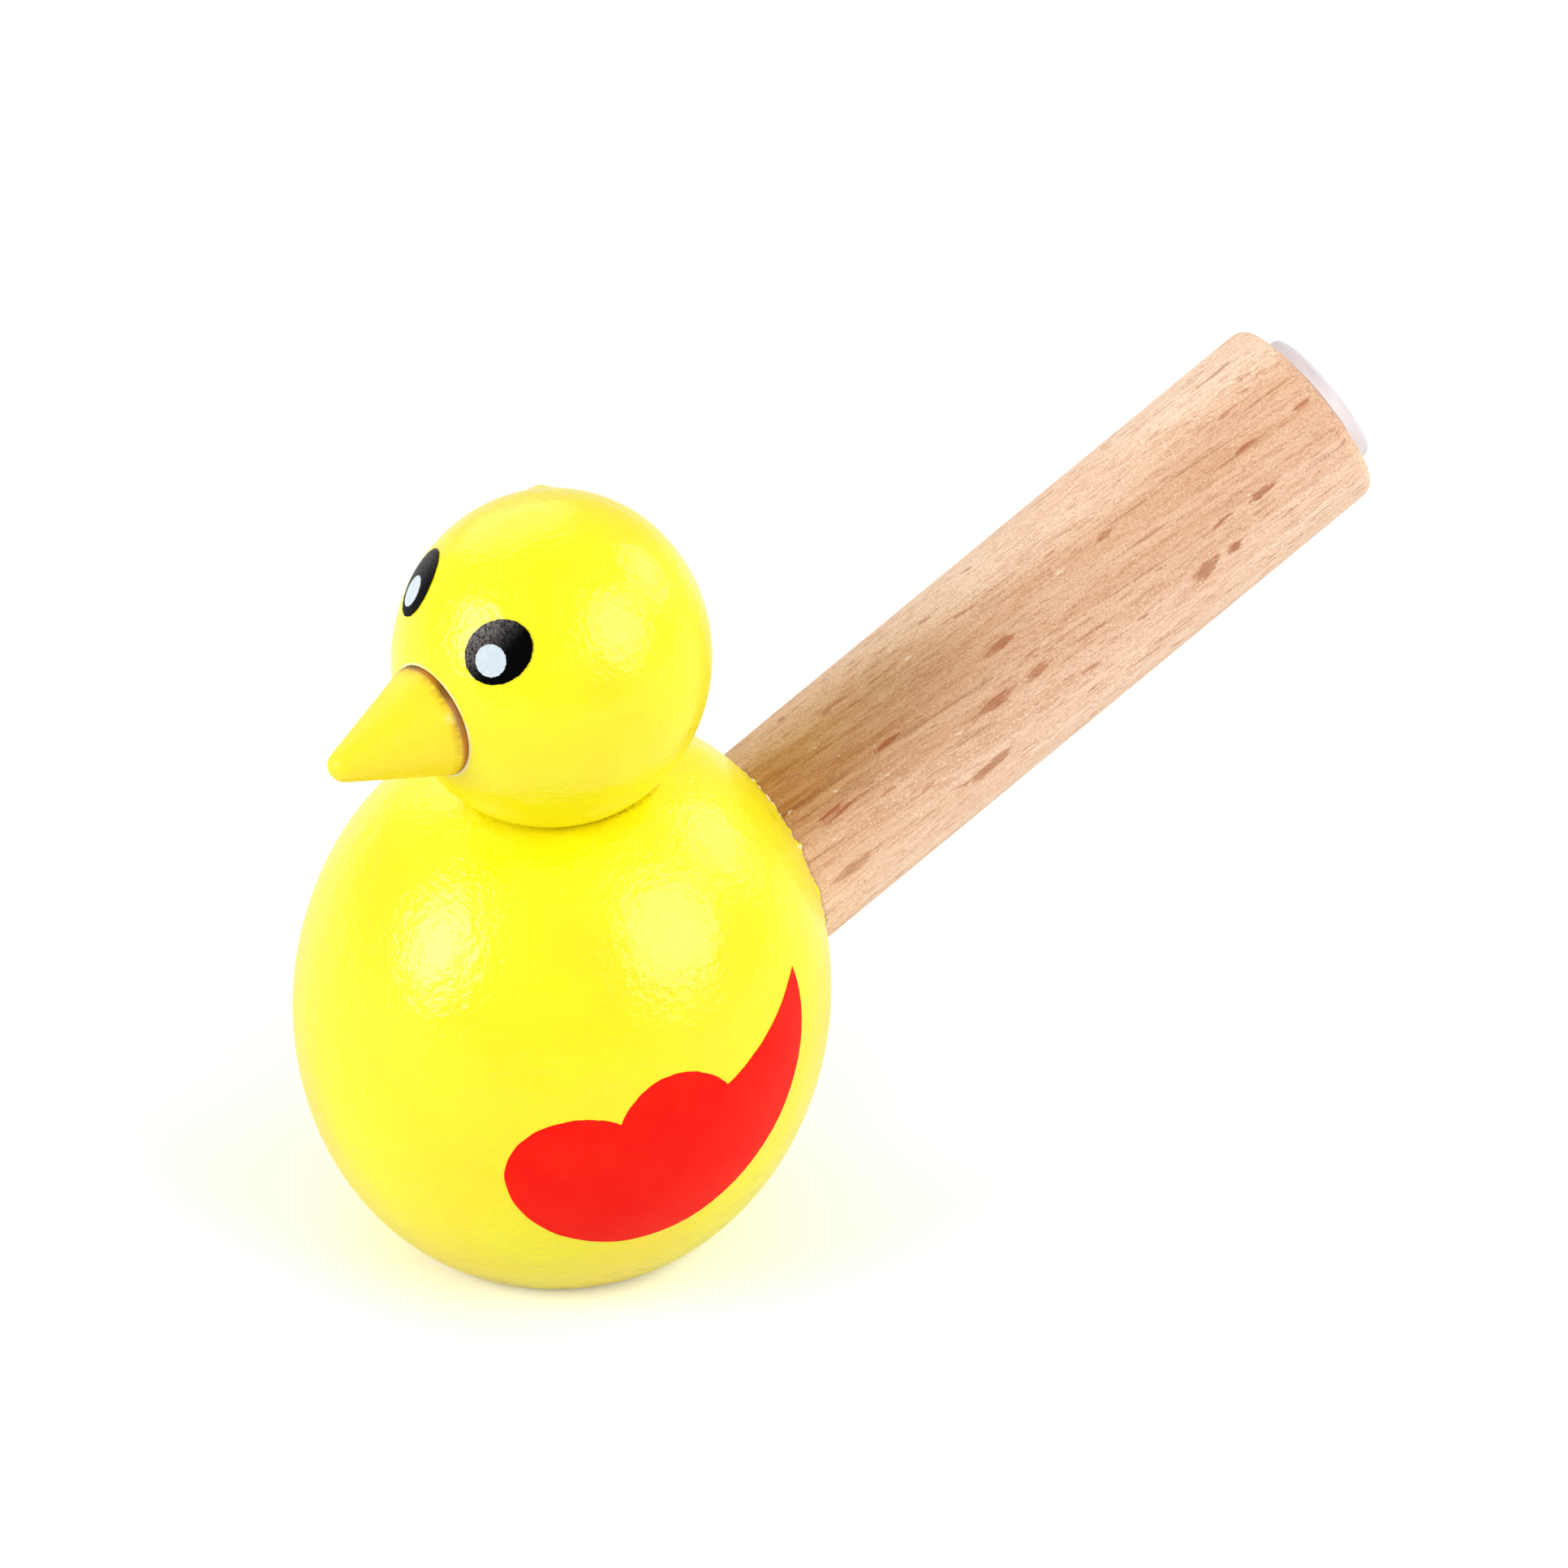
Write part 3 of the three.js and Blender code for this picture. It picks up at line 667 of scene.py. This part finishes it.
def ink_material(name, colour, deep, roughness, shine, marks=()):
    n = Nodes(name)
    here = n.where()
    cloud = n.noise(here, 350, 3)
    grit = n.noise(here, 2600, 2, 0.6)
    tone = n.mix(n.ramp(cloud, 0.3, 0.7), deep, colour)
    for mark in marks:
        amount, mark_colour = mark(n)
        tone = n.mix(amount, tone, mark_colour)
    n.set(Base_Color=tone, Specular_IOR_Level=shine)
    n.set(Roughness=n.ramp(grit, 0.3, 0.7, roughness - 0.06, roughness + 0.08))
    n.set(Normal=n.bump(grit, 0.008 * MM))
    return n.material


def reed_material():
    n = Nodes("reed_plastic")
    here = n.where()
    cloud = n.noise(here, 500, 2)
    n.set(Base_Color=n.mix(cloud, linear(214, 208, 194), linear(228, 223, 210)))
    n.set(Roughness=n.ramp(n.noise(here, 1800, 2), 0.3, 0.7, 0.35, 0.5))
    n.set(Normal=n.bump(n.noise(here, 3000, 2), 0.004 * MM))
    return n.material


# Pieces

def build_body(paint):
    profile = egg_points(BODY_RADIUS, BODY_HALF_HEIGHT, BODY_FULLNESS, BODY_STEPS)
    verts, faces = turned_shape(profile, BODY_SIDES)
    verts = transformed(verts, BODY_PLACE)
    top = NECK_HEIGHT - NECK_SEAM / 2
    verts[:, 2] = soft_max(verts[:, 2], 0, PAINT_ROUNDING)
    verts[:, 2] = -soft_max(-verts[:, 2], -top, PAINT_ROUNDING)
    obj = mesh_object("body_painted", verts, faces)
    hole_place = along_place(Vector((SOUND_HOLE_START, 0, SOUND_HOLE_HEIGHT)), math.pi / 2)
    chamber_end = SOCKET_FLOOR - CHAMBER_DEPTH
    dowel_floor = top - DOWEL_DEPTH - SEAT_GAP
    cut_away(obj, [
        cylinder("socket", TUBE_RADIUS + SOCKET_SEAM, SOCKET_FLOOR, CUTTER_REACH, TAIL_PLACE, ROUND_SIDES),
        cylinder("chamber", CHAMBER_RADIUS, chamber_end, SOCKET_FLOOR + SEAT_GAP, TAIL_PLACE),
        cylinder("hole", SOUND_HOLE_RADIUS, 0, CUTTER_REACH, hole_place),
        cylinder("dowel_hole", DOWEL_RADIUS + SEAT_GAP, dowel_floor, top + CUTTER_REACH, DOWEL_PLACE),
    ])
    finish_piece(obj, "body", paint)


def build_head(paint):
    verts, faces = turned_shape(egg_points(HEAD_RADIUS, HEAD_HALF_HEIGHT, 1, HEAD_STEPS), HEAD_SIDES)
    verts = transformed(verts, HEAD_PLACE)
    nub = np.array(HEAD_CENTRE + NUB_DIRECTION * NUB_DISTANCE)
    away = np.linalg.norm(verts - nub, axis=1) / NUB_RADIUS
    verts += np.exp(-away ** 2)[:, None] * NUB_HEIGHT * np.array(NUB_DIRECTION)
    low = NECK_HEIGHT + NECK_SEAM / 2
    verts[:, 2] = soft_max(verts[:, 2], low, PAINT_ROUNDING)
    obj = mesh_object("head_painted", verts, faces)
    seat = BEAK_EDGE - BEAK_SEAT_DEPTH
    peg_end = seat + SEAT_GAP - BEAK_PEG_LENGTH
    cut_away(obj, [
        cylinder("recess", BEAK_RADIUS + BEAK_SEAM, seat, CUTTER_REACH, BEAK_PLACE, ROUND_SIDES),
        cylinder("peg_hole", BEAK_PEG_RADIUS + SEAT_GAP, peg_end - SEAT_GAP, CUTTER_REACH, BEAK_PLACE),
        cylinder("dowel_hole", DOWEL_RADIUS + SEAT_GAP, 0, low + DOWEL_DEPTH + SEAT_GAP, DOWEL_PLACE),
    ])
    finish_piece(obj, "head", paint)


def build_beak(paint):
    """A cone whose side touches both the round shoulder and the round tip, with a peg behind."""
    start = BEAK_SHOULDER_START
    shoulder = np.array((
        BEAK_RADIUS - BEAK_SHOULDER * math.cos(start),
        BEAK_EDGE - BEAK_SHOULDER * math.sin(start),
    ))
    tip = np.array((0, BEAK_TIP_DISTANCE - BEAK_TIP_RADIUS))
    across, along = tip - shoulder
    opening = math.acos((BEAK_SHOULDER - BEAK_TIP_RADIUS) / math.hypot(across, along))
    slope = math.atan2(along, across) - opening
    base = BEAK_EDGE - BEAK_SEAT_DEPTH + SEAT_GAP
    round_shoulder = arc(shoulder, BEAK_SHOULDER, start, slope, BEAK_SHOULDER_STEPS)
    round_tip = arc(tip, BEAK_TIP_RADIUS, slope, math.pi / 2, BEAK_TIP_STEPS)
    shares = np.linspace(0, 1, BEAK_CONE_STEPS + 2)[1:-1, None]
    side = np.array(round_shoulder[-1]) * (1 - shares) + np.array(round_tip[0]) * shares
    profile = [(0, base - BEAK_PEG_LENGTH), (BEAK_PEG_RADIUS, base - BEAK_PEG_LENGTH)]
    profile += [(BEAK_PEG_RADIUS, base), (BEAK_RADIUS, base)]
    profile += round_shoulder + [tuple(p) for p in side] + round_tip[:-1]
    profile.append((0, BEAK_TIP_DISTANCE))
    verts, faces = turned_shape(profile, ROUND_SIDES)
    obj = mesh_object("beak_painted", transformed(verts, BEAK_PLACE), faces)
    finish_piece(obj, "beak", paint)


def build_tube(wood):
    outer = TUBE_RADIUS - TUBE_ROUNDING
    shoulder = TUBE_OUTER_END - TUBE_ROUNDING
    heights = np.linspace(TUBE_INNER_END + TUBE_CHAMFER, shoulder, TUBE_STEPS + 1)
    profile = [(TUBE_BORE_RADIUS, TUBE_INNER_END), (TUBE_RADIUS - TUBE_CHAMFER, TUBE_INNER_END)]
    profile += [(TUBE_RADIUS, h) for h in heights[:-1]]
    profile += arc((outer, shoulder), TUBE_ROUNDING, 0, math.pi / 2, TUBE_ROUNDING_STEPS)
    profile.append((TUBE_BORE_RADIUS, TUBE_OUTER_END))
    verts, faces = turned_ring(profile, ROUND_SIDES)
    obj = mesh_object("tail_tube", transformed(verts, TAIL_PLACE), faces)
    finish_piece(obj, "mouthpiece_tube", wood)


def build_sleeve(plastic):
    shoulder = MOUTH_END - FLANGE_ROUNDING
    outer = FLANGE_RADIUS - FLANGE_ROUNDING
    inner = SLEEVE_BORE_RADIUS + FLANGE_ROUNDING
    profile = [(SLEEVE_BORE_RADIUS, SLEEVE_INNER_END), (SLEEVE_RADIUS, SLEEVE_INNER_END)]
    profile += [(SLEEVE_RADIUS, FLANGE_FACE), (FLANGE_RADIUS, FLANGE_FACE)]
    profile += arc((outer, shoulder), FLANGE_ROUNDING, 0, math.pi / 2, FLANGE_ROUNDING_STEPS)
    profile += arc((inner, shoulder), FLANGE_ROUNDING, math.pi / 2, math.pi, FLANGE_ROUNDING_STEPS)
    verts, faces = turned_ring(profile, ROUND_SIDES)
    obj = mesh_object("sleeve_moulded", transformed(verts, TAIL_PLACE), faces)
    finish_piece(obj, "mouthpiece_sleeve", plastic)


# Ink marks

def bezier(points, steps):
    """Points along joined cubic curves, given as start, then two handles and an end for each curve."""
    made = []
    start = np.array(points[0])
    for i in range(1, len(points), 3):
        one, two, end = (np.array(p) for p in points[i:i + 3])
        for share in np.arange(steps) / steps:
            rest = 1 - share
            handles = one * rest + two * share
            made.append(start * rest ** 3 + 3 * rest * share * handles + end * share ** 3)
        start = end
    return np.array(made)


def inside(points, loop):
    """Which of the points lie inside the closed loop, by counting crossings."""
    found = np.zeros(len(points), bool)
    for a, b in zip(loop, np.roll(loop, -1, axis=0)):
        crosses = (a[1] > points[:, 1]) != (b[1] > points[:, 1])
        with np.errstate(divide="ignore", invalid="ignore"):
            x = a[0] + (points[:, 1] - a[1]) * (b[0] - a[0]) / (b[1] - a[1])
        found ^= crosses & (points[:, 0] < x)
    return found


def on_egg(starts, direction, radius, half_height, fullness, place):
    """Where rays from inside an egg, all in one direction, leave it."""
    inverse = place.inverted()
    local = transformed(starts, inverse)
    step = np.array(inverse.to_3x3() @ direction)
    low, high = np.zeros(len(local)), np.full(len(local), 2 * half_height)
    for _ in range(HALVINGS):
        middle = (low + high) / 2
        p = local + middle[:, None] * step
        share = np.clip(1 - (p[:, 2] / half_height) ** 2, 0, None)
        within = np.hypot(p[:, 0], p[:, 1]) < radius * share ** (fullness / 2)
        low = np.where(within, middle, low)
        high = np.where(within, high, middle)
    return transformed(local + low[:, None] * step, place)


def ink_film(name, loop, spacing, basis, egg, layer):
    """A thin closed film with the loop's outline, laid on an egg along the basis's third axis."""
    low, high = loop.min(axis=0), loop.max(axis=0)
    xs = np.arange(low[0], high[0], spacing)
    ys = np.arange(low[1], high[1], spacing)
    grid = np.array([(x, y) for x in xs for y in ys])
    grid = grid[inside(grid, loop)]
    nearest = np.min(np.linalg.norm(grid[:, None] - loop[None], axis=2), axis=1)
    grid = grid[nearest > spacing * 0.5]
    points = [Vector(p) for p in np.vstack([loop, grid])]
    flat, _, faces, *_ = delaunay_2d_cdt(points, [], [list(range(len(loop)))], 1, SAME_POINT)
    flat = np.array([tuple(p) for p in flat])
    radius, half_height, fullness, place, centre = egg
    across, up, out = basis
    starts = np.array(centre) + flat[:, :1] * np.array(across) + flat[:, 1:] * np.array(up)
    base = INK_LIFT + layer * INK_THICKNESS
    skins = []
    for lift in (base, base + INK_THICKNESS):
        skins.append(on_egg(starts, out, radius + lift, half_height + lift, fullness, place))
    count = len(flat)
    faces = [list(f) for f in faces]
    edges = dict.fromkeys(pair for face in faces for pair in zip(face, face[1:] + face[:1]))
    walls = [[b, a, a + count, b + count] for a, b in edges if (b, a) not in edges]
    tops = [[i + count for i in face] for face in faces]
    bottoms = [face[::-1] for face in faces]
    return mesh_object(name, np.vstack(skins), tops + bottoms + walls)


BODY_EGG = (BODY_RADIUS, BODY_HALF_HEIGHT, BODY_FULLNESS, BODY_PLACE, BODY_CENTRE)
HEAD_EGG = (HEAD_RADIUS, HEAD_HALF_HEIGHT, 1, HEAD_PLACE, HEAD_CENTRE)
SIDES = (("left", -1), ("right", 1))

# The wing's outline from the body's centre, in millimetres: to the tail, and up
WING = (
    (10.4, 8.8), (12.4, 0.6), (3.4, -9.75), (-5.6, -9.75), (-10.7, -9.75), (-14.8, -6.3), (-14.8, -1.95),
    (-14.8, 1.25), (-12.4, 3.25), (-9.9, 3.25), (-9, 3.25), (-8, 3.05), (-7.2, 2.55),
    (-6.3, 4.65), (-4.6, 5.9), (-2.6, 5.9), (-1, 5.9), (0.8, 4.95), (1.8, 3.45),
    (4.6, 4.55), (7.8, 6.45), (10.4, 8.8),
)


def stamped(loop):
    """The loop with small waves, as a stamp's ink leaves its edge."""
    around = np.arange(len(loop)) / len(loop) * 2 * math.pi
    waves = np.sin(13 * around) + np.sin(23 * around + 1) + np.sin(37 * around + 2)
    along = np.roll(loop, -1, axis=0) - np.roll(loop, 1, axis=0)
    outwards = np.stack([along[:, 1], -along[:, 0]], axis=1)
    outwards /= np.linalg.norm(outwards, axis=1)[:, None]
    return loop + outwards * waves[:, None] * INK_WAVES


def build_wings(red):
    loop = stamped(bezier(WING, WING_CURVE_STEPS) * MM)
    for side, sign in SIDES:
        basis = (Vector((1, 0, 0)), Vector((0, 0, 1)), Vector((0, sign, 0)))
        film = ink_film(f"{side}_wing_ink", loop, WING_SPACING, basis, BODY_EGG, 0)
        finish_piece(film, f"{side}_wing_print", red)


def head_basis(turn, rise, sign):
    """Axes back, up and out for a place on the head's left or right side."""
    ahead = Vector((-math.cos(turn), sign * math.sin(turn), 0))
    back = Vector((math.sin(turn), sign * math.cos(turn), 0))
    above = Vector((0, 0, 1))
    up = above * math.cos(rise) - ahead * math.sin(rise)
    out = ahead * math.cos(rise) + above * math.sin(rise)
    return back, up, out


def oval(long_radius, short_radius, tilt):
    angles = np.arange(OVAL_STEPS) * 2 * math.pi / OVAL_STEPS
    x, y = long_radius * np.cos(angles), short_radius * np.sin(angles)
    c, s = math.cos(tilt), math.sin(tilt)
    return np.stack([x * c - y * s, x * s + y * c], axis=1)


def build_eyes(black, white):
    eye = stamped(oval(EYE_LONG_RADIUS, EYE_SHORT_RADIUS, EYE_TILT))
    dot = stamped(oval(DOT_RADIUS, DOT_RADIUS, 0))
    for side, sign in SIDES:
        eye_basis = head_basis(EYE_TURN, EYE_RISE, sign)
        film = ink_film(f"{side}_eye_ink", eye, EYE_SPACING, eye_basis, HEAD_EGG, 0)
        finish_piece(film, f"{side}_eye_print", black)
        dot_basis = head_basis(DOT_TURN, DOT_RISE, sign)
        film = ink_film(f"{side}_eye_dot_ink", dot, DOT_SPACING, dot_basis, HEAD_EGG, 1)
        finish_piece(film, f"{side}_eye_dot_print", white)


# Setting

def add_camera():
    turn, rise = CAMERA_TURN, CAMERA_RISE
    back = Vector((math.sin(turn) * math.cos(rise), -math.cos(turn) * math.cos(rise), math.sin(rise)))
    right = Vector((math.cos(turn), math.sin(turn), 0))
    up = back.cross(right)
    aim = BODY_CENTRE - right * BODY_FROM_MIDDLE.x - up * BODY_FROM_MIDDLE.y
    data = bpy.data.cameras.new("camera")
    data.sensor_width = SENSOR
    data.lens = SENSOR * CAMERA_DISTANCE / VIEW_WIDTH
    data.clip_start = CAMERA_NEAREST
    data.clip_end = CAMERA_FARTHEST
    obj = bpy.data.objects.new("camera", data)
    obj.matrix_world = Matrix((
        (right.x, up.x, back.x, aim.x + back.x * CAMERA_DISTANCE),
        (right.y, up.y, back.y, aim.y + back.y * CAMERA_DISTANCE),
        (right.z, up.z, back.z, aim.z + back.z * CAMERA_DISTANCE),
        (0, 0, 0, 1),
    ))
    bpy.context.scene.collection.objects.link(obj)
    bpy.context.scene.camera = obj
    return right, up, back


def add_light(name, direction, size, brightness):
    """A round soft light. Its face is as bright as pure white times the brightness."""
    data = bpy.data.lights.new(name, "AREA")
    data.shape = "DISK"
    data.size = size
    data.energy = brightness * math.pi * math.pi * (size / 2) ** 2
    obj = bpy.data.objects.new(name, data)
    target = (BODY_CENTRE + HEAD_CENTRE) / 2
    obj.location = target + direction.normalized() * LAMP_DISTANCE
    obj.rotation_euler = direction.to_track_quat("Z", "Y").to_euler()
    bpy.context.scene.collection.objects.link(obj)


def rays_that_see(tree, mirrored):
    """1 for rays that see a thing straight or through plastic, and a share for mirrored ones."""
    path = tree.nodes.new("ShaderNodeLightPath")
    total = path.outputs["Is Camera Ray"]
    for name, share in (("Is Transmission Ray", 1), ("Is Glossy Ray", mirrored)):
        part = tree.nodes.new("ShaderNodeMath")
        part.operation = "MULTIPLY_ADD"
        tree.links.new(path.outputs[name], part.inputs[0])
        part.inputs[1].default_value = share
        tree.links.new(total, part.inputs[2])
        part.use_clamp = True
        total = part.outputs[0]
    return total


def add_world():
    world = bpy.data.worlds.new("studio")
    bpy.context.scene.world = world
    world.use_nodes = True
    tree = world.node_tree
    background = tree.nodes["Background"]
    strength = tree.nodes.new("ShaderNodeMapRange")
    strength.inputs["To Min"].default_value = WORLD_LIGHT
    strength.inputs["To Max"].default_value = SEEN_BRIGHTNESS
    tree.links.new(rays_that_see(tree, WORLD_MIRRORED), strength.inputs["Value"])
    tree.links.new(strength.outputs["Result"], background.inputs["Strength"])
    background.inputs["Color"].default_value = (1, 1, 1, 1)


def add_floor():
    half = FLOOR_HALF_WIDTH
    corners = [(-half, -half, 0), (half, -half, 0), (half, half, 0), (-half, half, 0)]
    floor = mesh_object("floor", corners, [[0, 1, 2, 3]])
    n = Nodes("floor_paper")
    seen_plainly = rays_that_see(n.tree, FLOOR_MIRRORED)
    grey = (FLOOR_GREY, FLOOR_GREY, FLOOR_GREY, 1)
    n.set(Base_Color=n.mix(seen_plainly, grey, (1, 1, 1, 1)), Roughness=0.9, Specular_IOR_Level=0.1)
    n.set(Emission_Color=(1, 1, 1, 1), Emission_Strength=n.math("MULTIPLY", seen_plainly, FLOOR_GLOW))
    floor.data.materials.append(n.material)


def main():
    body_paint = paint_material("body_paint", *YELLOW, 0.2, [pale_chips_round_tail, glue_and_shade_at_neck])
    head_paint = paint_material("head_paint", *YELLOW, 0.2, [pale_rim_round_beak, glue_and_shade_at_neck])
    beak_marks = [painted_shade_at_beak_base, pale_wear_on_shoulder]
    beak_paint = paint_material("beak_paint", *GOLDEN, 0.4, beak_marks)
    wood = wood_material("bare_wood")
    plastic = sleeve_material()
    reed = reed_material()
    build_body(body_paint)
    build_head(head_paint)
    build_beak(beak_paint)
    build_tube(wood)
    build_sleeve(plastic)
    build_wings(ink_material("red_ink", *RED_INK, 0.34, 0.07))
    black = ink_material("black_ink", *BLACK_INK, 0.36, 0.025, [speckled_sheen_on_eyes])
    white = ink_material("white_ink", *PALE_INK, 0.38, 0.07, [grainy])
    build_eyes(black, white)
    plain_pieces = {"neck_dowel": wood, "reed_bed": reed, "reed_tongue": reed, "reed_wedge": reed}
    for node, material in plain_pieces.items():
        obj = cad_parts[node]
        obj.data.materials.clear()
        obj.data.materials.append(material)
    right, up, back = add_camera()
    for name, ((x, y, z), size, brightness) in LAMPS.items():
        add_light(name, right * x + up * y + back * z, size, brightness)
    add_world()
    add_floor()
    bpy.context.scene.view_settings.view_transform = "Standard"


main()
